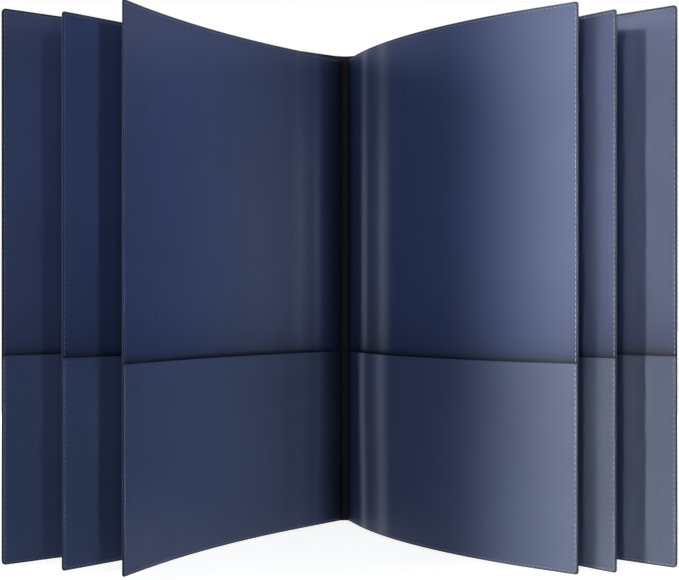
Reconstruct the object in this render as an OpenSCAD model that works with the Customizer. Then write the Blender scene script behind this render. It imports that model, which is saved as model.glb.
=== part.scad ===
// Multi-pocket folder, standing open.
// Three sheets are nested and sewn together along one fold: the cover sheet outside, then the outer leaf
// sheet, then the inner leaf sheet. Each half of a sheet is a panel of two plies with a sewn edge, and has
// a pocket over the lower part of the face that looks at the reader.
// Frame: Z is up along the fold, the reader is on the -Y side and the floor is at Z = 0, with the origin
// in the middle of the foot of the spine.

/* [Covers] */
// Height of the covers and of the fold
cover_h = 306; // [220:1:400]
// Width of a cover along the sheet, from the fold line
cover_w = 255; // [180:1:320]
// Thickness of one ply of a cover
cover_ply = 0.5; // [0.3:0.05:0.9]

/* [Leaves] */
// Height of the inner leaves, 2 and 3
inner_leaf_h = 302; // [210:1:395]
// Height of the outer leaves, 1 and 4
outer_leaf_h = 300; // [210:1:395]
// Width of a leaf along the sheet, from the fold line
leaf_w = 246; // [175:1:310]
// Thickness of one ply of a leaf
leaf_ply = 0.45; // [0.3:0.05:0.8]
// Height of the inner leaves' bottom edges above the covers' bottom edges
inner_lift = 1; // [0.3:0.1:4]
// Height of the outer leaves' bottom edges above the covers' bottom edges
outer_lift = 0.5; // [0.3:0.1:4]

/* [Sheet edges] */
// Radius of the outer corners
corner_r = 2; // [1:0.5:8]
// Gap between the two plies of a panel
ply_gap = 0.05; // [0.02:0.01:0.2]

/* [Pockets] */
// Height of a cover's pocket above the bottom edge of its panel
cover_pocket_h = 115; // [60:1:180]
// Height of the outer leaves' pockets
outer_pocket_h = 114; // [60:1:180]
// Height of the inner leaves' pockets
inner_pocket_h = 111; // [60:1:180]
// Thickness of the pocket strip
pocket_ply = 0.45; // [0.3:0.05:0.8]
// Space between an empty pocket strip and the sheet behind it
pocket_gap = 1.2; // [0.4:0.05:2]
// Width of the sewn border at the side and the bottom of a pocket
pocket_seam_w = 4; // [2:0.5:10]
// Clearance between a pocket strip and the sewn fold that it turns round
pocket_clear = 0.6; // [0.3:0.1:2]

/* [Stitching] */
// Distance from a panel's edge to the middle of its stitch line
stitch_inset = 1.5; // [1.2:0.1:4]
// Width of the stitch line
stitch_w = 0.7; // [0.4:0.1:1.2]
// Height of the stitches above the sheet
stitch_rise = 0.14; // [0.05:0.01:0.25]
// Diameter of the thread at the fold
spine_thread_d = 0.5; // [0.3:0.05:0.6]
// Length of one stitch at the fold
spine_stitch_l = 4.5; // [2:0.5:8]
// Distance between stitches at the fold
spine_stitch_pitch = 7; // [5:0.5:14]

/* [Fold] */
// Clearance between neighbouring panels that lie parallel
turn_gap = 0.3; // [0.2:0.05:1]
// Thickness of the sewn fold of each sheet
fold_ply = 0.45; // [0.3:0.05:0.6]
// Clearance between a sewn fold and the hinges that turn round it
fold_gap = 0.1; // [0.05:0.05:0.2]
// Half of the angle that a sewn fold covers
fold_half_angle = 40; // [15:1:45]
// Angle that a hinge strip covers round the fold
hinge_angle = 10; // [5:1:12]
// Gap between a hinge strip and the sheets that it carries
hinge_seam = 0.2; // [0.1:0.05:0.4]

/* [Standing pose] */
// Angle of the front cover from straight ahead
front_cover_angle = -46; // [-70:1:-30]
// Angle of leaf 1
leaf_1_angle = -37; // [-60:0.5:-25]
// Angle of leaf 2 at the fold
leaf_2_angle = -35.5; // [-50:0.5:-10]
// Angle that leaf 2 bends through
leaf_2_bend = 17; // [1:1:25]
// Angle of leaf 3 at the fold
leaf_3_angle = 14; // [5:0.5:30]
// Angle that leaf 3 bends through
leaf_3_bend = 31; // [1:1:32]
// Angle of leaf 4
leaf_4_angle = 34.5; // [30:0.5:60]
// Angle of the back cover
back_cover_angle = 43; // [38:1:70]

/* [Hidden] */
$fn = 64;

cover_colour = [0.16, 0.21, 0.32];
leaf_colour = [0.14, 0.2, 0.38];
pocket_colour = [0.19, 0.25, 0.4];
thread_colour = [0.1, 0.14, 0.26];
fold_colour = [0.05, 0.06, 0.1];

// Gap that keeps two pieces of one panel from sharing a face
touch_gap = 0.02;
// Straight pieces that follow a bend
bend_steps = 12;
// A piece that is cut to an outline starts this far outside it
past = 1;
// Smallest corner radius of a line that runs inside a panel's edge
least_r = 0.2;

// Panels lie at three levels round the fold: 0 inner leaves, 1 outer leaves, 2 covers.
// face_r is the distance from the fold axis to the face that the reader sees.
panel_t = 2 * leaf_ply + ply_gap;
pocket_t = pocket_ply + pocket_gap;
level_face_r = [
    turn_gap / 2 + pocket_t,
    turn_gap * 3 / 2 + 2 * pocket_t + panel_t,
    turn_gap * 5 / 2 + 3 * pocket_t + 2 * panel_t
];
level_ply = [leaf_ply, leaf_ply, cover_ply];
level_pocket_h = [inner_pocket_h, outer_pocket_h, cover_pocket_h];

// The origin is at the foot of the spine strip, so the fold axis stands in front of it.
fold_axis = [0, -(level_face_r[2] - fold_gap - fold_ply / 2), 0];

// A panel is [side, level, angle at the fold, bend, bend start, bend end, width, height, foot].
// side is -1 left of the fold and 1 right of it; the bend is a round arc between its start and its end.
leaf_2_bend_from = 45;
leaf_2_bend_to = leaf_w - 18;
leaf_3_bend_from = 20;
leaf_3_bend_to = leaf_w - 26;
FRONT_COVER = [-1, 2, front_cover_angle, 0, 0, 0, cover_w, cover_h, 0];
LEAF_1 = [-1, 1, leaf_1_angle, 0, 0, 0, leaf_w, outer_leaf_h, outer_lift];
LEAF_2 = [-1, 0, leaf_2_angle, leaf_2_bend, leaf_2_bend_from, leaf_2_bend_to,
          leaf_w, inner_leaf_h, inner_lift];
LEAF_3 = [1, 0, leaf_3_angle, leaf_3_bend, leaf_3_bend_from, leaf_3_bend_to,
          leaf_w, inner_leaf_h, inner_lift];
LEAF_4 = [1, 1, leaf_4_angle, 0, 0, 0, leaf_w, outer_leaf_h, outer_lift];
BACK_COVER = [1, 2, back_cover_angle, 0, 0, 0, cover_w, cover_h, 0];

function side(p) = p[0];
function level(p) = p[1];
function root_angle(p) = p[2];
function bend(p) = p[3];
function bend_from(p) = p[4];
function bend_to(p) = p[5];
function width(p) = p[6];
function foot(p) = p[8];
function head(p) = p[8] + p[7];
function face_r(p) = level_face_r[level(p)];
function ply(p) = level_ply[level(p)];
function pocket_top(p) = foot(p) + level_pocket_h[level(p)];

// Outer radius of the sewn fold of a sheet
function fold_r(sheet_level) = level_face_r[sheet_level] - fold_gap;

// Distance along a panel at which its pocket is clear of the sewn fold
function pocket_root(p) = sqrt(pow(fold_r(level(p)), 2) - pow(face_r(p) - pocket_t, 2)) + pocket_clear;

// Direction along a sheet and square to it, at an angle from its direction at the fold
function along(angle) = [sin(angle), -cos(angle)];
function across(angle) = [cos(angle), sin(angle)];

// Angle that a panel has bent through at a distance s along it
function bent_angle(p, s) =
    bend(p) == 0 ? 0
    : bend(p) * min(1, max(0, (s - bend_from(p)) / (bend_to(p) - bend_from(p))));

// Plan position at a distance s along a panel, as if it left the fold axis straight ahead
function bend_r(p) = (bend_to(p) - bend_from(p)) * 180 / (PI * bend(p));
function on_bend(p, s) = bend_from(p) * along(0) - bend_r(p) * (across(bent_angle(p, s)) - across(0));
function path(p, s) =
    bend(p) == 0 || s <= bend_from(p) ? s * along(0)
    : s <= bend_to(p) ? on_bend(p, s)
    : on_bend(p, bend_to(p)) + (s - bend_to(p)) * along(bend(p));

// The same at a distance r outward from that line
function offset_path(p, s, r) = path(p, s) + side(p) * r * across(bent_angle(p, s));

// Distances along a panel at which its plan has a point
function stations(p, from, to) = concat(
    [from],
    bend(p) == 0 ? [] : [
        for (i = [0 : bend_steps])
            let (s = bend_from(p) + i * (bend_to(p) - bend_from(p)) / bend_steps)
            if (s > from && s < to) s
    ],
    [to]
);

// Turns what is drawn straight ahead from the fold axis to where a panel stands
module at_fold(p) {
    translate(fold_axis)
        rotate([0, 0, root_angle(p)])
            children();
}

// A strip of a panel, between two distances along it, two offsets from the fold line and two heights
module strip(p, from, to, r_in, r_out, z_low, z_high) {
    at = stations(p, from, to);
    inside = [for (s = at) offset_path(p, s, r_in)];
    outside = [for (i = [len(at) - 1 : -1 : 0]) offset_path(p, at[i], r_out)];
    at_fold(p)
        translate([0, 0, z_low])
            linear_extrude(z_high - z_low)
                polygon(concat(inside, outside));
}

// A panel's outline drawn in by an inset, with X counted inward from the outer edge and Y as height
module panel_section(p, inset, span) {
    r = max(corner_r - inset, least_r);
    low = foot(p) + inset;
    high = head(p) - inset;
    translate([inset + r, low])
        square([span, high - low]);
    translate([inset, low + r])
        square([span, high - low - 2 * r]);
    for (z = [low + r, high - r])
        translate([inset + r, z])
            circle(r);
}

// Sets a section upright in the plane of a panel's outer edge, and makes it deep enough to hold the bend
module through_panel(p) {
    reach = width(p) / 2;
    at_fold(p)
        translate(path(p, width(p)))
            rotate([0, 0, bend(p)])
                translate([-reach, 0, 0])
                    rotate([90, 0, 90])
                        linear_extrude(2 * reach)
                            children();
}

// A ply of a panel, cut to the panel's outline
module sheet(p, r_in, r_out) {
    intersection() {
        strip(p, hinge_seam, width(p) + past, r_in, r_out, foot(p) - past, head(p) + past);
        through_panel(p)
            panel_section(p, 0, width(p) + past);
    }
}

module face_sheet(p) {
    sheet(p, face_r(p), face_r(p) + ply(p));
}

module back_sheet(p) {
    back_r = face_r(p) + ply(p) + ply_gap;
    sheet(p, back_r, back_r + ply(p));
}

// The pocket stands off its sheet, open at the top and at the fold, and is closed by its sewn border at
// the bottom and at the outer side
module pocket(p) {
    strip_r = face_r(p) - pocket_t;
    space_r = strip_r + pocket_ply;
    seat_r = face_r(p) - touch_gap;
    root = pocket_root(p);
    top = pocket_top(p);
    intersection() {
        difference() {
            strip(p, root, width(p) + past, strip_r, seat_r, foot(p) - past, top);
            strip(p, root - past, width(p) - pocket_seam_w, space_r, seat_r + past,
                  foot(p) + pocket_seam_w, top + past);
        }
        through_panel(p)
            panel_section(p, 0, width(p) + past);
    }
}

// One layer of the stitch line, on a face at a distance r from the fold line
module stitch_line(p, r, z_low, z_high) {
    outer = stitch_inset - stitch_w / 2;
    intersection() {
        strip(p, pocket_root(p), width(p) + past, r - stitch_rise, r, z_low, z_high);
        through_panel(p)
            difference() {
                panel_section(p, outer, width(p) + past);
                panel_section(p, outer + stitch_w, width(p) + 2 * past);
            }
    }
}

// Stitch line along the top, the outer side and the bottom, on the pocket where the pocket covers the sheet
module stitching(p) {
    sheet_r = face_r(p) - touch_gap;
    stitch_line(p, sheet_r, pocket_top(p) + stitch_w, head(p) + past);
    stitch_line(p, sheet_r - pocket_t, foot(p) - past, pocket_top(p) - stitch_w);
}

// An arc round the fold axis, between two angles counted from +X
module fold_arc(r_in, r_out, from, to, z_low, z_high) {
    translate(fold_axis)
        translate([0, 0, z_low])
            rotate([0, 0, from])
                rotate_extrude(angle = to - from)
                    translate([r_in, 0])
                        square([r_out - r_in, z_high - z_low]);
}

// The hinge strip carries both plies round the fold, towards the sewn line
module hinge(p) {
    r_out = face_r(p) + 2 * ply(p) + ply_gap;
    root = side(p) > 0 ? root_angle(p) : 180 + root_angle(p);
    from = side(p) > 0 ? root : root - hinge_angle;
    fold_arc(face_r(p), r_out, from, from + hinge_angle, foot(p), head(p));
}

// The sewn middle of a sheet, just inside its two hinge strips
module sewn_fold(sheet_level, z_low, z_high) {
    r_out = fold_r(sheet_level);
    fold_arc(r_out - fold_ply, r_out, 90 - fold_half_angle, 90 + fold_half_angle, z_low, z_high);
}

// A row of stitches along the fold, at a distance behind the fold axis
module spine_stitches(behind, z_low, z_high) {
    count = floor((z_high - z_low - spine_stitch_l) / spine_stitch_pitch);
    start = (z_low + z_high - (count - 1) * spine_stitch_pitch - spine_stitch_l) / 2;
    for (i = [0 : count - 1])
        translate(fold_axis)
            translate([0, behind, start + i * spine_stitch_pitch])
                cylinder(d = spine_thread_d, h = spine_stitch_l);
}

module spine_strip() { color(fold_colour) sewn_fold(2, 0, cover_h); }
module outer_sheet_fold() { color(fold_colour) sewn_fold(1, outer_lift, outer_lift + outer_leaf_h); }
module inner_sheet_fold() { color(fold_colour) sewn_fold(0, inner_lift, inner_lift + inner_leaf_h); }

module inner_spine_thread() {
    seat = fold_r(0) - fold_ply - touch_gap - spine_thread_d / 2;
    color(thread_colour) spine_stitches(seat, inner_lift, inner_lift + inner_leaf_h);
}

module outer_spine_thread() {
    seat = fold_r(2) + touch_gap + spine_thread_d / 2;
    color(thread_colour) spine_stitches(seat, inner_lift, inner_lift + inner_leaf_h);
}

module front_cover_face_sheet() { color(cover_colour) face_sheet(FRONT_COVER); }
module front_cover_back_sheet() { color(cover_colour) back_sheet(FRONT_COVER); }
module front_cover_pocket() { color(pocket_colour) pocket(FRONT_COVER); }
module front_cover_stitching() { color(thread_colour) stitching(FRONT_COVER); }
module front_cover_hinge() { color(cover_colour) hinge(FRONT_COVER); }

module leaf_1_face_sheet() { color(leaf_colour) face_sheet(LEAF_1); }
module leaf_1_back_sheet() { color(leaf_colour) back_sheet(LEAF_1); }
module leaf_1_pocket() { color(pocket_colour) pocket(LEAF_1); }
module leaf_1_stitching() { color(thread_colour) stitching(LEAF_1); }
module leaf_1_hinge() { color(leaf_colour) hinge(LEAF_1); }

module leaf_2_face_sheet() { color(leaf_colour) face_sheet(LEAF_2); }
module leaf_2_back_sheet() { color(leaf_colour) back_sheet(LEAF_2); }
module leaf_2_pocket() { color(pocket_colour) pocket(LEAF_2); }
module leaf_2_stitching() { color(thread_colour) stitching(LEAF_2); }
module leaf_2_hinge() { color(leaf_colour) hinge(LEAF_2); }

module leaf_3_face_sheet() { color(leaf_colour) face_sheet(LEAF_3); }
module leaf_3_back_sheet() { color(leaf_colour) back_sheet(LEAF_3); }
module leaf_3_pocket() { color(pocket_colour) pocket(LEAF_3); }
module leaf_3_stitching() { color(thread_colour) stitching(LEAF_3); }
module leaf_3_hinge() { color(leaf_colour) hinge(LEAF_3); }

module leaf_4_face_sheet() { color(leaf_colour) face_sheet(LEAF_4); }
module leaf_4_back_sheet() { color(leaf_colour) back_sheet(LEAF_4); }
module leaf_4_pocket() { color(pocket_colour) pocket(LEAF_4); }
module leaf_4_stitching() { color(thread_colour) stitching(LEAF_4); }
module leaf_4_hinge() { color(leaf_colour) hinge(LEAF_4); }

module back_cover_face_sheet() { color(cover_colour) face_sheet(BACK_COVER); }
module back_cover_back_sheet() { color(cover_colour) back_sheet(BACK_COVER); }
module back_cover_pocket() { color(pocket_colour) pocket(BACK_COVER); }
module back_cover_stitching() { color(thread_colour) stitching(BACK_COVER); }
module back_cover_hinge() { color(cover_colour) hinge(BACK_COVER); }

spine_strip();
outer_sheet_fold();
inner_sheet_fold();
inner_spine_thread();
outer_spine_thread();
front_cover_face_sheet();
front_cover_back_sheet();
front_cover_pocket();
front_cover_stitching();
front_cover_hinge();
leaf_1_face_sheet();
leaf_1_back_sheet();
leaf_1_pocket();
leaf_1_stitching();
leaf_1_hinge();
leaf_2_face_sheet();
leaf_2_back_sheet();
leaf_2_pocket();
leaf_2_stitching();
leaf_2_hinge();
leaf_3_face_sheet();
leaf_3_back_sheet();
leaf_3_pocket();
leaf_3_stitching();
leaf_3_hinge();
leaf_4_face_sheet();
leaf_4_back_sheet();
leaf_4_pocket();
leaf_4_stitching();
leaf_4_hinge();
back_cover_face_sheet();
back_cover_back_sheet();
back_cover_pocket();
back_cover_stitching();
back_cover_hinge();
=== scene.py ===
import math

import bmesh
import bpy
import numpy as np
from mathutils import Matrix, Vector


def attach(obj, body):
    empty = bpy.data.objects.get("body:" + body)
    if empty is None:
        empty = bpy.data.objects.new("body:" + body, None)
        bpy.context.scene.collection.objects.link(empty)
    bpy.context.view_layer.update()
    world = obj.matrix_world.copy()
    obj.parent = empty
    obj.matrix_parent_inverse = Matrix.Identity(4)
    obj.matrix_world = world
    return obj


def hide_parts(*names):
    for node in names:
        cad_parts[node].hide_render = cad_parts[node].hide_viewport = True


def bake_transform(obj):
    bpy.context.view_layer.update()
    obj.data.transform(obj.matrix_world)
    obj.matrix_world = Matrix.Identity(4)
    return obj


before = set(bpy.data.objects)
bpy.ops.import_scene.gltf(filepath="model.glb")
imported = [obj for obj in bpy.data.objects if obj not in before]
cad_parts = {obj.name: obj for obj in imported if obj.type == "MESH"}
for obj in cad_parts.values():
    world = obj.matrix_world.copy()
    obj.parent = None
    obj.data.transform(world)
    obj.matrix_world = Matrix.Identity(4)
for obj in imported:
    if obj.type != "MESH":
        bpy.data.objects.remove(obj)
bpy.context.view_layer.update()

# Sizes in millimetres, as in the solids but for the covers' corners, which are a little rounder here.
# A list has one value for each level: inner leaf, outer leaf and cover.
MM = 0.001
COVER_W, COVER_H, COVER_PLY = 255.0, 306.0, 0.5
LEAF_W, LEAF_PLY, PLY_GAP = 246.0, 0.45, 0.05
INNER_H, OUTER_H = 302.0, 300.0
INNER_LIFT, OUTER_LIFT = 1.0, 0.5
PLY = [LEAF_PLY, LEAF_PLY, COVER_PLY]
CORNER_R = [2.0, 2.0, 2.7]
FACE_R = [1.8, 4.7, 7.6]
POCKET_H = [111.0, 114.0, 115.0]
POCKET_PLY, POCKET_GAP = 0.45, 1.2
POCKET_CLEAR = 0.6
STITCH_INSET = 1.5
AXIS = np.array([0.0, -7.275])
FOLD_GAP, FOLD_PLY = 0.1, 0.45
TOUCH = 0.02


# Plan geometry of the panels

def along(angle):
    """Direction along a sheet at an angle from straight ahead, in plan."""
    a = np.radians(angle)
    return np.stack([np.sin(a), -np.cos(a)], axis=-1)


def across(angle):
    """Direction square to a sheet at an angle from straight ahead, in plan."""
    a = np.radians(angle)
    return np.stack([np.cos(a), np.sin(a)], axis=-1)


class Panel:
    """Half of a sheet, with s along it from the fold, r outward from the fold line and z as height."""

    def __init__(self, name, side, level, angle, width, height, foot, bend=0.0, bend_from=0.0, bend_to=1.0):
        self.name = name
        self.side = side
        self.level = level
        self.angle = angle
        self.width = width
        self.foot = foot
        self.head = foot + height
        self.bend = bend
        self.bend_from = bend_from
        self.bend_to = bend_to
        self.face_r = FACE_R[level]
        self.ply = PLY[level]
        self.back_r = self.face_r + 2 * self.ply + PLY_GAP
        self.pocket_top = foot + POCKET_H[level]
        fold_r = self.face_r - FOLD_GAP
        pocket_r = self.face_r - POCKET_PLY - POCKET_GAP
        self.root = math.sqrt(fold_r ** 2 - pocket_r ** 2) + POCKET_CLEAR

    def angle_at(self, s):
        """Angle of the sheet at a distance along it."""
        t = (np.asarray(s, float) - self.bend_from) / (self.bend_to - self.bend_from)
        return self.angle + self.bend * np.clip(t, 0, 1)

    def plan(self, s):
        """Plan points along the sheet: straight, then an arc, then straight again."""
        s = np.asarray(s, float)
        if self.bend == 0:
            return s[..., None] * along(self.angle)
        radius = (self.bend_to - self.bend_from) / math.radians(self.bend)
        flat = np.minimum(s, self.bend_from)[..., None] * along(self.angle)
        arc = -radius * (across(self.angle_at(s)) - across(self.angle))
        rest = np.maximum(s - self.bend_to, 0)[..., None] * along(self.angle + self.bend)
        return flat + arc + rest

    def at(self, s, r, z):
        """Points in metres."""
        s, r, z = np.broadcast_arrays(np.asarray(s, float), np.asarray(r, float), np.asarray(z, float))
        xy = AXIS + self.plan(s) + self.side * r[..., None] * across(self.angle_at(s))
        return np.concatenate([xy, z[..., None]], axis=-1) * MM


PANELS = [
    Panel("front_cover", -1, 2, -46.0, COVER_W, COVER_H, 0.0),
    Panel("leaf_1", -1, 1, -37.0, LEAF_W, OUTER_H, OUTER_LIFT),
    Panel("leaf_2", -1, 0, -35.5, LEAF_W, INNER_H, INNER_LIFT,
          bend=17.0, bend_from=45.0, bend_to=LEAF_W - 18),
    Panel("leaf_3", 1, 0, 14.0, LEAF_W, INNER_H, INNER_LIFT,
          bend=31.0, bend_from=20.0, bend_to=LEAF_W - 26),
    Panel("leaf_4", 1, 1, 34.5, LEAF_W, OUTER_H, OUTER_LIFT),
    Panel("back_cover", 1, 2, 43.0, COVER_W, COVER_H, 0.0),
]


# Mesh helpers

SHARP = 35
THREAD_SHARP = 60


def smooth(t):
    """A soft step from 0 to 1."""
    t = np.clip(t, 0, 1)
    return t * t * (3 - 2 * t)


def bump(t):
    """A round hump, 1 at t = 0."""
    return np.exp(-t * t)


def make_object(name, points, faces, materials, face_slots=None, sharp=SHARP, **marks):
    """A mesh object, smooth but for its sharp edges. Each mark gives a value for every point."""
    mesh = bpy.data.meshes.new(name)
    mesh.from_pydata(np.asarray(points).reshape(-1, 3).tolist(), [], faces)
    for material in materials:
        mesh.materials.append(material)
    if face_slots is not None:
        mesh.polygons.foreach_set("material_index", np.asarray(face_slots, dtype=np.int32))
    work = bmesh.new()
    work.from_mesh(mesh)
    bmesh.ops.recalc_face_normals(work, faces=work.faces)
    work.to_mesh(mesh)
    work.free()
    for mark, values in marks.items():
        layer = mesh.attributes.new(mark, "FLOAT", "POINT")
        layer.data.foreach_set("value", np.ravel(values).astype(np.float32))
    mesh.shade_smooth()
    mesh.set_sharp_from_angle(angle=math.radians(sharp))
    piece = bpy.data.objects.new(name, mesh)
    bpy.context.collection.objects.link(piece)
    return piece


def solid_faces(n, m):
    """Faces of a closed solid made of two n by m grids, and the grid cell and side that each comes from."""
    faces = []
    cells = []
    second = n * m
    for i in range(n - 1):
        for j in range(m - 1):
            a, b, c, d = i * m + j, (i + 1) * m + j, (i + 1) * m + j + 1, i * m + j + 1
            faces.append((a, b, c, d))
            faces.append((second + d, second + c, second + b, second + a))
            cells += [(i, j, 0), (i, j, 1)]
    border = [(i, 0) for i in range(n)] + [(n - 1, j) for j in range(1, m)]
    border += [(i, m - 1) for i in range(n - 2, -1, -1)] + [(0, j) for j in range(m - 2, 0, -1)]
    for (i, j), (next_i, next_j) in zip(border, border[1:] + border[:1]):
        a, b = i * m + j, next_i * m + next_j
        faces.append((b, a, second + a, second + b))
        cells.append((min(i, next_i, n - 2), min(j, next_j, m - 2), 2))
    return faces, cells


def tube_faces(first, rings, sides):
    """Faces of a closed tube whose rings of points follow each other from the index first."""
    faces = []
    for i in range(rings - 1):
        for j in range(sides):
            a = first + i * sides + j
            b = first + i * sides + (j + 1) % sides
            faces.append((a, b, b + sides, a + sides))
    last = first + (rings - 1) * sides
    faces.append(tuple(first + j for j in range(sides)))
    faces.append(tuple(last + j for j in reversed(range(sides))))
    return faces


EDGE_STEPS = [0.0, 0.04, 0.12, 0.22, 0.34, 0.5, 0.7, 0.9, 1.1, 1.3, 1.5, 1.7, 1.95, 2.3, 2.8, 3.6, 4.6]


def lines(start, end, step, start_edge=False, end_edge=False):
    """Grid lines between two distances, close together at the edges that are asked for."""
    low = [start + e for e in EDGE_STEPS] if start_edge else [start]
    high = [end - e for e in reversed(EDGE_STEPS)] if end_edge else [end]
    count = max(1, round((high[0] - low[-1]) / step))
    middle = np.linspace(low[-1], high[0], count + 1)[1:-1]
    return np.array(low + middle.tolist() + high)


def rounded(s, z, width, low, high, radius):
    """Rounds the outer corners of a grid. Gives s, z and the distance to the nearest of the three edges."""
    s, z = np.meshgrid(s, z, indexing="ij")
    from_side = width - s
    from_end = np.minimum(z - low, high - z)
    upper = z > (low + high) / 2
    edge = np.minimum(from_side, from_end)
    a = np.clip((radius - from_side) / radius, 0, 1)
    b = np.clip((radius - from_end) / radius, 0, 1)
    side = np.where(a > 0, radius - radius * a * np.sqrt(1 - b * b / 2), from_side)
    end = np.where(b > 0, radius - radius * b * np.sqrt(1 - a * a / 2), from_end)
    return width - side, np.where(upper, high - end, low + end), edge


def round_over(edge, radius):
    """How far a rounded edge falls away at a distance from it."""
    t = np.clip(1 - edge / radius, 0, 1)
    return radius * (1 - np.sqrt(1 - t * t))


GROOVE_DEPTH, GROOVE_HALF = 0.11, 0.32
BEAD_AT, BEAD_HEIGHT, BEAD_HALF = 0.75, 0.06, 0.35


def seam_profile(edge):
    """How far a face lies below its level near a sewn edge, with the thread's groove and the rim's bead."""
    groove = GROOVE_DEPTH * bump((edge - STITCH_INSET) / GROOVE_HALF)
    bead = BEAD_HEIGHT * bump((edge - BEAD_AT) / BEAD_HALF)
    return groove - bead


# Near the fold the inner leaves have slight upright ripples, with painted highlight streaks and a broad
# painted sheen over them.
# Each mark is a distance along the leaf, a half width and a strength.
RIPPLE_AND_SHEEN_MARKS = {
    "leaf_2": [(28.5, 3.5, 0.3), (46.5, 7, 0.3), (60, 75, 0.38)],
    "leaf_3": [(40.5, 5.5, 2.3), (56, 14, 0.35), (72.5, 8, 1.25)],
}
# Share of the painted sheen that each leaf's pocket takes.
POCKET_SHEEN = {"leaf_2": 0.4, "leaf_3": 0.9}
RIPPLE_SHEEN_CLEAR = 20
RIPPLE_SHEEN_START = 8
RIPPLE_SHEEN_FADE = 110
TOP_SHARE = 0.4
RIPPLE = 0.12
RIPPLE_MARGIN = 8


def flex_marks(p, s, z):
    """Strength of the ripples and the painted sheen on a panel. They begin clear of the fold and fade
    towards the top edge.
    """
    total = np.zeros_like(s)
    for at, half, amount in RIPPLE_AND_SHEEN_MARKS.get(p.name, []):
        total += amount * bump((s - at) / half)
    fade = TOP_SHARE + (1 - TOP_SHARE) * smooth((p.head - z) / RIPPLE_SHEEN_FADE)
    return total * fade * smooth((s - RIPPLE_SHEEN_CLEAR) / RIPPLE_SHEEN_START)


# Painted shade: a painted shadow behind and above a pocket's mouth, and painted shade in the gutter at the
# fold. Those above a pocket's mouth have a strength and a reach each.
MOUTH_SHADE = [(0.75, 2.5), (0.42, 22)]
GUTTER_SHADE = 0.95
GUTTER_REACH = {-1: 30, 1: 20}
UNSHADED_TOP = 20


def soil_marks(p, s, z):
    """Strength of the painted shadow at the pocket's mouth and of the painted shade in the gutter at the
    fold.
    """
    above = z - p.pocket_top
    faded = sum(amount * np.exp(-np.maximum(above, 0) / reach) for amount, reach in MOUTH_SHADE)
    mouth = np.where(above < 0, 1.0, faded) * (z < p.head - UNSHADED_TOP)
    gutter = GUTTER_SHADE * (1 - smooth(s / GUTTER_REACH[p.side]))
    return np.clip(np.maximum(mouth, gutter), 0, 1)


# Materials

def new_material(name, colour):
    """A material with its node tree and its shader."""
    material = bpy.data.materials.new(name)
    material.use_nodes = True
    material.diffuse_color = (*colour, 1)
    tree = material.node_tree
    return material, tree, tree.nodes["Principled BSDF"]


def add(tree, kind, **values):
    """A new node, with values for its sockets or its properties."""
    node = tree.nodes.new(kind)
    for key, value in values.items():
        if key in node.inputs:
            node.inputs[key].default_value = value
        else:
            setattr(node, key, value)
    return node


def noise(tree, scale, detail=3.0, stretch=(1, 1, 1)):
    """Noise in the object's own coordinates."""
    coords = add(tree, "ShaderNodeTexCoord")
    mapping = add(tree, "ShaderNodeMapping")
    mapping.inputs["Scale"].default_value = stretch
    texture = add(tree, "ShaderNodeTexNoise", Scale=scale, Detail=detail)
    tree.links.new(coords.outputs["Object"], mapping.inputs["Vector"])
    tree.links.new(mapping.outputs["Vector"], texture.inputs["Vector"])
    return texture.outputs["Fac"]


RAMP_FROM, RAMP_TO = 0.3, 0.7


def ramp(tree, value, low, high):
    """Turns noise into a range between two colours or two numbers."""
    node = add(tree, "ShaderNodeValToRGB")
    first, second = node.color_ramp.elements
    first.position = RAMP_FROM
    second.position = RAMP_TO
    first.color = (*low, 1) if hasattr(low, "__len__") else (low, low, low, 1)
    second.color = (*high, 1) if hasattr(high, "__len__") else (high, high, high, 1)
    tree.links.new(value, node.inputs["Fac"])
    return node.outputs["Color"]


def shade(colour, factor):
    """A darker or lighter colour."""
    return tuple(min(1.0, c * factor) for c in colour)


# The pale colour of the painted sheen, and its share at full strength.
PAINTED_SHEEN = (0.26, 0.3, 0.4, 1)
PAINTED_SHEEN_SHARE = 0.5
# How dark the painted shade is against the sheet's colour.
PAINTED_SHADE_TONE = 0.13
CLOUD_SCALE, CLOUD_LOW, CLOUD_HIGH = 14.0, 0.93, 1.07
GLOSS_SCALE, GLOSS_DETAIL, GLOSS_RANGE = 60.0, 4.0, 0.03
GRAIN_SCALE, GRAIN_DETAIL = 1900.0, 2.0
GRAIN_HEIGHT, GRAIN_STRENGTH = 0.00004, 0.5
SHEET_IOR = 1.5
COAT_ROUGHNESS = 0.3


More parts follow.
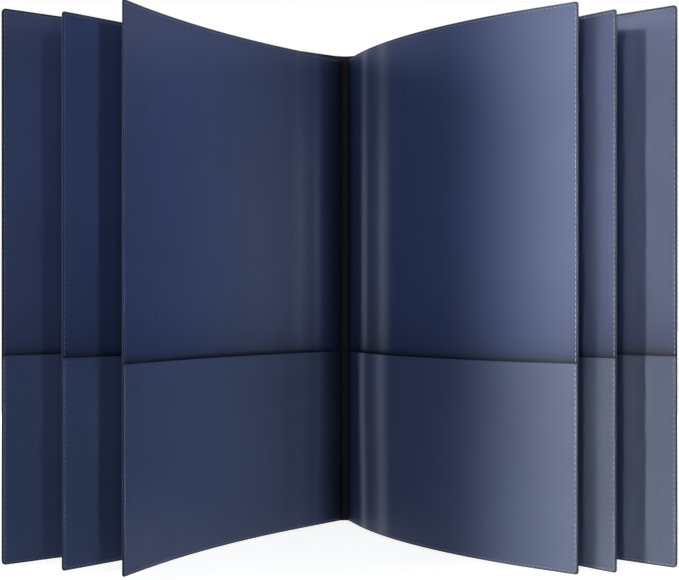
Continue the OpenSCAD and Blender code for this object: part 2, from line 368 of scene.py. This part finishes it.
def plastic(name, colour, roughness, coat=0.0, gloss=0.5):
    """Satin sheet plastic with a pressed grain, soft clouding, uneven gloss, painted sheen and painted
    shade.
    """
    material, tree, shader = new_material(name, colour)
    links = tree.links
    clouds = ramp(tree, noise(tree, CLOUD_SCALE), shade(colour, CLOUD_LOW), shade(colour, CLOUD_HIGH))
    # Painted sheen: a paler colour mixed in where the attribute is strong.
    flex = add(tree, "ShaderNodeAttribute", attribute_name="flex")
    share = add(tree, "ShaderNodeMath", operation="MULTIPLY")
    share.inputs[1].default_value = PAINTED_SHEEN_SHARE
    painted_sheen_mix = add(tree, "ShaderNodeMix", data_type="RGBA")
    painted_sheen_mix.inputs["B"].default_value = PAINTED_SHEEN
    links.new(flex.outputs["Fac"], share.inputs[0])
    links.new(share.outputs[0], painted_sheen_mix.inputs["Factor"])
    links.new(clouds, painted_sheen_mix.inputs["A"])
    # Painted shade: a darker colour mixed in along the pockets' mouths and in the gutter.
    soil = add(tree, "ShaderNodeAttribute", attribute_name="soil")
    painted_shading = add(tree, "ShaderNodeMix", data_type="RGBA")
    painted_shading.inputs["B"].default_value = (*shade(colour, PAINTED_SHADE_TONE), 1)
    links.new(soil.outputs["Fac"], painted_shading.inputs["Factor"])
    links.new(painted_sheen_mix.outputs["Result"], painted_shading.inputs["A"])
    links.new(painted_shading.outputs["Result"], shader.inputs["Base Color"])
    patches = noise(tree, GLOSS_SCALE, GLOSS_DETAIL)
    uneven = ramp(tree, patches, roughness - GLOSS_RANGE, roughness + GLOSS_RANGE)
    links.new(uneven, shader.inputs["Roughness"])
    relief = add(tree, "ShaderNodeBump", Strength=GRAIN_STRENGTH, Distance=GRAIN_HEIGHT)
    links.new(noise(tree, GRAIN_SCALE, GRAIN_DETAIL), relief.inputs["Height"])
    links.new(relief.outputs["Normal"], shader.inputs["Normal"])
    shader.inputs["IOR"].default_value = SHEET_IOR
    shader.inputs["Specular IOR Level"].default_value = gloss
    shader.inputs["Coat Weight"].default_value = coat
    shader.inputs["Coat Roughness"].default_value = COAT_ROUGHNESS
    return material


FIBRE_SCALE, FIBRE_DETAIL, FIBRE_STRETCH = 2600.0, 2.0, (1, 1, 0.35)
FIBRE_LOW, FIBRE_HIGH = 0.75, 1.25
FIBRE_HEIGHT, FIBRE_STRENGTH = 0.00005, 0.6
THREAD_ROUGHNESS = 0.55


def thread(name, colour, gloss=0.5, sheen=0.3):
    """Twisted sewing thread."""
    material, tree, shader = new_material(name, colour)
    links = tree.links
    fibres = noise(tree, FIBRE_SCALE, FIBRE_DETAIL, FIBRE_STRETCH)
    colours = ramp(tree, fibres, shade(colour, FIBRE_LOW), shade(colour, FIBRE_HIGH))
    links.new(colours, shader.inputs["Base Color"])
    relief = add(tree, "ShaderNodeBump", Strength=FIBRE_STRENGTH, Distance=FIBRE_HEIGHT)
    links.new(fibres, relief.inputs["Height"])
    links.new(relief.outputs["Normal"], shader.inputs["Normal"])
    shader.inputs["Roughness"].default_value = THREAD_ROUGHNESS
    shader.inputs["Specular IOR Level"].default_value = gloss
    shader.inputs["Sheen Weight"].default_value = sheen
    return material


COVER_SHEET = plastic("cover_sheet", (0.0365, 0.0535, 0.132), roughness=0.6, coat=0.05, gloss=0.15)
LEAF_SHEET = plastic("leaf_sheet", (0.034, 0.052, 0.132), roughness=0.58, coat=0.1, gloss=0.08)
POCKET_SHEET = plastic("pocket_sheet", (0.039, 0.057, 0.122), roughness=0.6, coat=0.1, gloss=0.08)
# The rim materials are painted shade: a dark band along the rolled outer edges, darker on the covers than
# on the leaves.
COVER_RIM_SHADE = plastic("cover_rim_shade", (0.012, 0.015, 0.028), roughness=0.6, gloss=0.12)
LEAF_RIM_SHADE = plastic("leaf_rim_shade", (0.021, 0.029, 0.062), roughness=0.6, gloss=0.12)
FOLD = plastic("sewn_fold", (0.015, 0.0155, 0.014), roughness=0.7, gloss=0.08)
EDGE_THREAD = thread("edge_thread", (0.1, 0.12, 0.19))
FOLD_THREAD = thread("fold_thread", (0.003, 0.0032, 0.004), gloss=0.05, sheen=0.0)


# Panels: two plies with a rolled and sewn rim

SHEETS = [LEAF_SHEET, LEAF_SHEET, COVER_SHEET]
RIM_SHADES = [LEAF_RIM_SHADE, LEAF_RIM_SHADE, COVER_RIM_SHADE]
# Width of the painted rim shade along the outer edges, for each level.
RIM_SHADE_W = [0.9, 0.9, 1.1]
RIM_SHADE_TOLERANCE = 0.1
RIM_FLAT = 0.05
MOUTH_LINES = np.array([-2.0, -0.5, 0.5, 1.5, 2.5, 4.0, 6.0, 8.5])
ROOT_STEP = 0.02
BENT_STEP = 3.0
PLY_STEP = 15.0
HEIGHT_STEP = 12.0


def ply_piece(p, back):
    """The back or the face ply of a panel."""
    s = lines(ROOT_STEP, p.width, BENT_STEP if p.bend else PLY_STEP, end_edge=True)
    z = lines(p.foot, p.head, HEIGHT_STEP, True, True)
    z = np.sort(np.concatenate([z, p.pocket_top + MOUTH_LINES]))
    s, z, edge = rounded(s, z, p.width, p.foot, p.head, CORNER_R[p.level])
    # The same marks give the ripples in the face and the painted sheen.
    flex = flex_marks(p, s, z)
    fall = round_over(edge, p.ply - RIM_FLAT) + seam_profile(edge)
    fall = fall - RIPPLE * flex * smooth(edge / RIPPLE_MARGIN)
    if back:
        which = "back"
        outer = p.at(s, p.back_r - fall, z)
        inner = p.at(s, p.back_r - p.ply, z)
        soil = np.zeros_like(s)
    else:
        which = "face"
        outer = p.at(s, p.face_r + fall, z)
        inner = p.at(s, p.face_r + p.ply, z)
        # Only the face ply takes the painted shade.
        soil = soil_marks(p, s, z)
    faces, cells = solid_faces(*edge.shape)
    # Faces within the rim take the painted rim shade.
    rim = RIM_SHADE_W[p.level] + RIM_SHADE_TOLERANCE
    rim_shaded = [edge[i:i + 2, j:j + 2].max() <= rim and (i > 0 or side != 2) for i, j, side in cells]
    piece = make_object(f"{p.name}_{which}_ply", np.stack([outer, inner]), faces,
                        [SHEETS[p.level], RIM_SHADES[p.level]], np.array(rim_shaded, int),
                        flex=np.stack([flex, flex]), soil=np.stack([soil, soil]))
    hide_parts(f"{p.name}_{which}_sheet")
    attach(piece, p.name)


# Pockets: a strip that is sewn down at its border and bows open towards its mouth

POCKET_INSET = 0.45
POCKET_SEAM = 4.2
BOW_SIDE, BOW_FOOT, BOW_ROOT = 70, 95, 35
POCKET_STEP = 8.0
POCKET_HEIGHT_STEP = 5.0
LIP_FLAT = 0.01
LIP_REACH = 1


def pocket_bow(p, s, z):
    """Gap between a pocket and its sheet."""
    side = smooth((p.width - POCKET_SEAM - s) / BOW_SIDE)
    foot = smooth((z - p.foot - POCKET_SEAM) / BOW_FOOT)
    root = smooth((s - p.root) / BOW_ROOT)
    return POCKET_GAP * side * foot * root


def pocket_piece(p):
    """The pocket strip of a panel, with a rounded lip along its mouth."""
    width = p.width - POCKET_INSET
    low = p.foot + POCKET_INSET
    s = lines(p.root, width, BENT_STEP if p.bend else POCKET_STEP, end_edge=True)
    z = lines(low, p.pocket_top, POCKET_HEIGHT_STEP, True, True)
    s, z, edge = rounded(s, z, width, low, 2 * p.pocket_top, CORNER_R[p.level] - POCKET_INSET)
    half = POCKET_PLY / 2
    mouth = np.maximum(p.pocket_top - z, 0)
    lip = round_over(mouth, half - LIP_FLAT)
    skin = p.face_r - TOUCH - pocket_bow(p, s, z)
    fall = round_over(edge, POCKET_PLY - RIM_FLAT) + seam_profile(edge + POCKET_INSET)
    fall = np.where(mouth < LIP_REACH, np.minimum(fall, half), fall)
    # The pocket takes part of the painted sheen.
    flex = flex_marks(p, s, z) * POCKET_SHEEN.get(p.name, 0)
    # The pocket takes only the gutter's painted shade.
    soil = soil_marks(p, s, np.full_like(z, p.head))
    outer = p.at(s, skin - POCKET_PLY + np.maximum(fall, lip), z)
    inner = p.at(s, skin - lip, z)
    faces, _ = solid_faces(*edge.shape)
    piece = make_object(f"{p.name}_pocket_strip", np.stack([outer, inner]), faces, [POCKET_SHEET],
                        flex=np.stack([flex, flex]), soil=np.stack([soil, soil]))
    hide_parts(f"{p.name}_pocket")
    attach(piece, p.name)


# Edge stitches, each a thread that comes out of the sheet, lies on it and goes back in

STITCH_PITCH = 2.9
STITCH_L = 2.35
STITCH_W = 0.5
STITCH_RISE = 0.17
STITCH_SINK = 0.05
STITCH_TAPER = 0.96
STITCH_TAPER_POWER = 3
STITCH_END_W = 0.35
STITCH_RINGS = 7
STITCH_SIDES = 7
RUN_START = 2
MOUTH_BREAK = 0.9


def stitch_runs(p):
    """Start and end of each straight run of the stitch line, as s and z."""
    low = p.foot + STITCH_INSET
    high = p.head - STITCH_INSET
    outer = p.width - STITCH_INSET
    start = p.root + RUN_START
    return [
        ((start, high), (outer, high)),
        ((outer, high), (outer, p.pocket_top + MOUTH_BREAK)),
        ((outer, p.pocket_top - MOUTH_BREAK), (outer, low)),
        ((outer, low), (start, low)),
    ]


def stitch_mesh(p, base_r, out):
    """Points and faces of the stitches on one face. out is -1 towards the reader and 1 away."""
    points = []
    faces = []
    t = np.linspace(-1, 1, STITCH_RINGS)
    u = np.linspace(0, math.pi, STITCH_SIDES)
    arch = np.sqrt(1 - STITCH_TAPER * np.abs(t) ** STITCH_TAPER_POWER)[:, None]
    wide = np.cos(u) * (STITCH_END_W + (1 - STITCH_END_W) * arch) * STITCH_W / 2
    high = np.sin(u) * arch * STITCH_RISE - STITCH_SINK
    for (s0, z0), (s1, z1) in stitch_runs(p):
        length = math.hypot(s1 - s0, z1 - z0)
        count = int(length // STITCH_PITCH)
        ds, dz = (s1 - s0) / length, (z1 - z0) / length
        for k in range(count):
            run = (k + 0.5) * length / count + (t * STITCH_L / 2)[:, None]
            s = s0 + run * ds - wide * dz
            z = z0 + run * dz + wide * ds
            faces += tube_faces(len(points) * STITCH_RINGS * STITCH_SIDES, STITCH_RINGS, STITCH_SIDES)
            points.append(p.at(s, base_r(s, z) + out * high, z).reshape(-1, 3))
    return np.concatenate(points), faces


def stitches_piece(p):
    """The stitches along a panel's edges, on its face and on its back."""
    groove = float(seam_profile(np.array(STITCH_INSET)))

    def front(s, z):
        on_pocket = z < p.pocket_top
        return p.face_r + groove - np.where(on_pocket, TOUCH + POCKET_PLY, 0)

    def rear(s, z):
        return np.full_like(s, p.back_r - groove)

    points, faces = stitch_mesh(p, front, -1)
    more, more_faces = stitch_mesh(p, rear, 1)
    faces += [tuple(i + len(points) for i in f) for f in more_faces]
    points = np.concatenate([points, more])
    piece = make_object(f"{p.name}_stitches", points, faces, [EDGE_THREAD], sharp=THREAD_SHARP)
    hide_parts(f"{p.name}_stitching")
    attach(piece, p.name)


for panel in PANELS:
    ply_piece(panel, False)
    ply_piece(panel, True)
    pocket_piece(panel)
    stitches_piece(panel)


# The fold: the cover sheet runs round the spine, and the inner sheet's sewn middle lines it

def polar(angle, r, z):
    """Points round the fold axis, in metres, with the angle in degrees from +X."""
    angle, r, z = np.broadcast_arrays(np.asarray(angle, float), np.asarray(r, float), np.asarray(z, float))
    a = np.radians(angle)
    return np.stack([AXIS[0] + r * np.cos(a), AXIS[1] + r * np.sin(a), z], axis=-1) * MM


BACK = 90.0
WRAP_IN = FACE_R[2] - TOUCH
WRAP_OUT = FACE_R[2] + 2 * COVER_PLY + PLY_GAP
WRAP_DIP, WRAP_DIP_END = 0.55, 0.45
WRAP_SEAM_START = 0.3
WRAP_STEPS = 40
WRAP_EDGE_R = 0.45
WRAP_LIP, WRAP_LIP_REACH = 0.05, 0.4


def wrap_piece(p):
    """Half of the cover sheet's back, from the sewn line to the cover."""
    root = p.angle if p.side > 0 else 180 + p.angle
    t = np.linspace(0, 1, WRAP_STEPS)
    z = lines(p.foot, p.head, HEIGHT_STEP, True, True)
    t, z = np.meshgrid(t, z, indexing="ij")
    edge = np.minimum(z - p.foot, p.head - z)
    fall = round_over(edge, WRAP_EDGE_R) + seam_profile(edge) * smooth(t / WRAP_SEAM_START)
    dip = WRAP_DIP * (1 - smooth(t / WRAP_DIP_END))
    angle = BACK + (root - BACK) * t
    outer = polar(angle, WRAP_OUT - dip - fall, z)
    inner = polar(angle, WRAP_IN + np.where(edge < WRAP_LIP_REACH, WRAP_LIP, 0), z)
    faces, _ = solid_faces(*t.shape)
    piece = make_object(f"{p.name}_spine_wrap", np.stack([outer, inner]), faces, [COVER_SHEET])
    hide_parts(f"{p.name}_hinge")
    middle = (WRAP_IN + WRAP_OUT) / 2
    start = polar(BACK, middle, COVER_H / 2)
    end = polar(root, middle, COVER_H / 2)
    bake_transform(piece)


LINING_HALF = 66
LINING_STEPS = 45
LINING_HEIGHT_STEP = 6.0
LINING_PULL, LINING_PULL_HALF = 0.08, 14


def inner_fold_piece():
    """The sewn middle of the inner sheet, seen as the dark strip between the inner leaves."""
    angle = np.linspace(BACK - LINING_HALF, BACK + LINING_HALF, LINING_STEPS)
    z = lines(INNER_LIFT, INNER_LIFT + INNER_H, LINING_HEIGHT_STEP, True, True)
    angle, z = np.meshgrid(angle, z, indexing="ij")
    edge = np.minimum(z - INNER_LIFT, INNER_LIFT + INNER_H - z)
    r_out = FACE_R[0] - FOLD_GAP
    r_in = r_out - FOLD_PLY
    lip = round_over(edge, FOLD_PLY / 2 - LIP_FLAT)
    pull = LINING_PULL * bump((angle - BACK) / LINING_PULL_HALF)
    points = np.stack([polar(angle, r_in + lip + pull, z), polar(angle, r_out - lip, z)])
    faces, _ = solid_faces(*angle.shape)
    piece = make_object("inner_fold_lining", points, faces, [FOLD])
    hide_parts("inner_sheet_fold")
    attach(piece, "spine")


FOLD_PITCH = 7.0
FOLD_STITCH_L = 5.2
FOLD_STITCHES = 42
FOLD_THREAD_D = 0.5
FOLD_TAPER_POWER = 6
FOLD_END_D = 0.45
FOLD_SINK = 0.8
FOLD_WIDE, FOLD_HIGH = 1.1, 0.9
FOLD_RINGS = 13
FOLD_SIDES = 12
TWIST, TWIST_STRANDS, TWIST_PER_MM = 0.05, 3, 5


def fold_stitches_piece(name, node, r, out):
    """A row of long stitches along the fold, with their ends turned into the sheet."""
    start = INNER_LIFT + (INNER_H - (FOLD_STITCHES - 1) * FOLD_PITCH - FOLD_STITCH_L) / 2
    t = np.linspace(-1, 1, FOLD_RINGS)
    u = np.linspace(0, 2 * math.pi, FOLD_SIDES, endpoint=False)
    arch = np.sqrt(1 - np.abs(t) ** FOLD_TAPER_POWER)
    centre = (AXIS[1] + r + out * (arch - 1) * FOLD_THREAD_D * FOLD_SINK)[:, None]
    thick = (FOLD_THREAD_D / 2 * (FOLD_END_D + (1 - FOLD_END_D) * arch))[:, None]
    points = []
    faces = []
    for k in range(FOLD_STITCHES):
        z = (start + k * FOLD_PITCH + (t + 1) / 2 * FOLD_STITCH_L)[:, None]
        twist = TWIST * np.sin(TWIST_STRANDS * u + TWIST_PER_MM * z)
        x = thick * np.cos(u) * (FOLD_WIDE + twist)
        y = centre + thick * np.sin(u) * (FOLD_HIGH + twist)
        ring = np.stack([x, y, np.broadcast_to(z, x.shape)], axis=-1) * MM
        faces += tube_faces(len(points) * FOLD_RINGS * FOLD_SIDES, FOLD_RINGS, FOLD_SIDES)
        points.append(ring.reshape(-1, 3))
    piece = make_object(name, np.concatenate(points), faces, [FOLD_THREAD], sharp=THREAD_SHARP)
    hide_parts(node)
    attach(piece, "spine")


for panel in (PANELS[0], PANELS[-1]):
    wrap_piece(panel)
inner_fold_piece()
INNER_SEAT = FACE_R[0] - FOLD_GAP - FOLD_PLY - TOUCH - FOLD_THREAD_D / 2
OUTER_SEAT = WRAP_OUT - WRAP_DIP + FOLD_THREAD_D / 4
fold_stitches_piece("inner_fold_stitches", "inner_spine_thread", INNER_SEAT, -1)
fold_stitches_piece("outer_fold_stitches", "outer_spine_thread", OUTER_SEAT, 1)

# The other pieces of the fold keep their shape
KEPT = {
    "spine_strip": FOLD,
    "outer_sheet_fold": FOLD,
    "leaf_1_hinge": LEAF_SHEET,
    "leaf_2_hinge": LEAF_SHEET,
    "leaf_3_hinge": LEAF_SHEET,
    "leaf_4_hinge": LEAF_SHEET,
}
for node, material in KEPT.items():
    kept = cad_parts[node]
    kept.data.materials.clear()
    kept.data.materials.append(material)


# Stage: floor, white background, soft boxes and the camera, in metres

WHITE = (1, 1, 1, 1)
FLOOR_GREY = (0.5, 0.5, 0.5)
FLOOR_ROUGHNESS = 0.9
FLOOR_GLOSS = 0.1
FLOOR_GLOW = 0.86
FLOOR_NEAR, FLOOR_FAR = 0.5, 1.1
FLOOR_HALF = 6.0
FLOOR_Z = -0.0002
WORLD_LIGHT = 0.02


def seen_rays(tree):
    """1 for rays that show the background: camera, glossy and transmission rays."""
    path = add(tree, "ShaderNodeLightPath")
    first = add(tree, "ShaderNodeMath", operation="MAXIMUM")
    second = add(tree, "ShaderNodeMath", operation="MAXIMUM")
    tree.links.new(path.outputs["Is Camera Ray"], first.inputs[0])
    tree.links.new(path.outputs["Is Glossy Ray"], first.inputs[1])
    tree.links.new(first.outputs[0], second.inputs[0])
    tree.links.new(path.outputs["Is Transmission Ray"], second.inputs[1])
    return second.outputs[0]


def floor_material():
    """A floor that keeps the object's shadow and turns white further out."""
    material, tree, shader = new_material("floor", FLOOR_GREY)
    shader.inputs["Base Color"].default_value = (*FLOOR_GREY, 1)
    shader.inputs["Roughness"].default_value = FLOOR_ROUGHNESS
    shader.inputs["Specular IOR Level"].default_value = FLOOR_GLOSS
    shader.inputs["Emission Color"].default_value = WHITE
    coords = add(tree, "ShaderNodeTexCoord")
    distance = add(tree, "ShaderNodeVectorMath", operation="LENGTH")
    glow = add(tree, "ShaderNodeMapRange")
    glow.inputs["From Min"].default_value = FLOOR_NEAR
    glow.inputs["From Max"].default_value = FLOOR_FAR
    glow.inputs["To Min"].default_value = FLOOR_GLOW
    glow.inputs["To Max"].default_value = 1.0
    strength = add(tree, "ShaderNodeMath", operation="MULTIPLY")
    tree.links.new(coords.outputs["Object"], distance.inputs[0])
    tree.links.new(distance.outputs["Value"], glow.inputs["Value"])
    tree.links.new(seen_rays(tree), strength.inputs[0])
    tree.links.new(glow.outputs["Result"], strength.inputs[1])
    tree.links.new(strength.outputs[0], shader.inputs["Emission Strength"])
    return material


floor_corners = [(-1, -1), (1, -1), (1, 1), (-1, 1)]
floor_points = [(x * FLOOR_HALF, y * FLOOR_HALF, FLOOR_Z) for x, y in floor_corners]
floor = make_object("floor", floor_points, [(0, 1, 2, 3)], [floor_material()])

world = bpy.data.worlds.new("studio")
bpy.context.scene.world = world
world.use_nodes = True
nodes = world.node_tree
nodes.nodes.clear()
soft = add(nodes, "ShaderNodeBackground", Color=WHITE, Strength=WORLD_LIGHT)
white = add(nodes, "ShaderNodeBackground", Color=WHITE, Strength=1.0)
pick = add(nodes, "ShaderNodeMixShader")
out = add(nodes, "ShaderNodeOutputWorld")
nodes.links.new(seen_rays(nodes), pick.inputs[0])
nodes.links.new(soft.outputs[0], pick.inputs[1])
nodes.links.new(white.outputs[0], pick.inputs[2])
nodes.links.new(pick.outputs[0], out.inputs[0])


def soft_box(name, place, aim, width, height, power, spread=180, colour=(1, 1, 1)):
    """A lamp with its beam's spread in degrees, which the camera doesn't see."""
    data = bpy.data.lights.new(name, "AREA")
    data.spread = math.radians(spread)
    data.shape = "RECTANGLE"
    data.size = width
    data.size_y = height
    data.energy = power
    data.color = colour
    lamp = bpy.data.objects.new(name, data)
    lamp.location = place
    lamp.visible_camera = False
    lamp.rotation_euler = (Vector(aim) - Vector(place)).to_track_quat("-Z", "Y").to_euler()
    bpy.context.collection.objects.link(lamp)


# Large boxes round the front: name, x, y, width and power
ROUND_AIM = (0.0, -0.12, 0.15)
ROUND_Z, ROUND_H = 0.3, 0.7
ROUND_BOXES = [
    ("far_left_box", -1.467, -0.432, 0.6, 13.2),
    ("left_box", -0.923, -1.302, 0.5, 4.8),
    ("front_box", 0.0, -1.62, 0.4, 8.2),
    ("right_box", 0.923, -1.302, 0.5, 1.1),
    ("far_right_box", 1.359, -0.754, 0.6, 3.0),
]
for box_name, box_x, box_y, box_w, power in ROUND_BOXES:
    soft_box(box_name, (box_x, box_y, ROUND_Z), ROUND_AIM, box_w, ROUND_H, power)

# Narrow beams: two warm ones on the outer half of the right inner leaf, and one on the left inner leaf
WARM = (1.0, 0.8, 0.5)
WARM_AIM = (0.146, -0.187, 0.142)
soft_box("left_grid_box", (-0.62, -1.36, 0.28), WARM_AIM, 0.08, 0.6, 0.36, spread=6, colour=WARM)
soft_box("grid_box", (-0.2, -1.52, 0.28), WARM_AIM, 0.08, 0.6, 0.19, spread=6, colour=WARM)
soft_box("right_grid_box", (0.45, -1.45, 0.2), (-0.09, -0.14, 0.15), 0.12, 0.5, 0.13, spread=9)

# Low boxes behind, for the outside of the covers
soft_box("rear_left_box", (-0.75, 0.75, 0.13), (-0.08, -0.05, 0.15), 0.7, 0.24, 7.0)
soft_box("rear_right_box", (0.75, 0.75, 0.13), (0.08, -0.05, 0.15), 0.7, 0.24, 5.5)

# The camera stands level. Its place is in millimetres, its focal length and shift in pixels.
CAMERA_AXIS_DISTANCE = 1058.0
CAMERA_X, CAMERA_Z = -3.6, 147.3
FOCAL_PX = 1615.0
IMAGE_W = 679.0
HORIZON_SHIFT_PX = 7.0
SENSOR_MM = 36.0
CLIP_NEAR, CLIP_FAR = 0.05, 50
view = bpy.data.cameras.new("camera")
view.sensor_width = SENSOR_MM
view.lens = FOCAL_PX / IMAGE_W * SENSOR_MM
view.shift_y = HORIZON_SHIFT_PX / IMAGE_W
view.clip_start = CLIP_NEAR
view.clip_end = CLIP_FAR
camera = bpy.data.objects.new("camera", view)
camera.location = (CAMERA_X * MM, (AXIS[1] - CAMERA_AXIS_DISTANCE) * MM, CAMERA_Z * MM)
camera.rotation_euler = (math.radians(90), 0, 0)
bpy.context.collection.objects.link(camera)
bpy.context.scene.camera = camera
bpy.context.scene.view_settings.view_transform = "Standard"

bpy.context.view_layer.update()
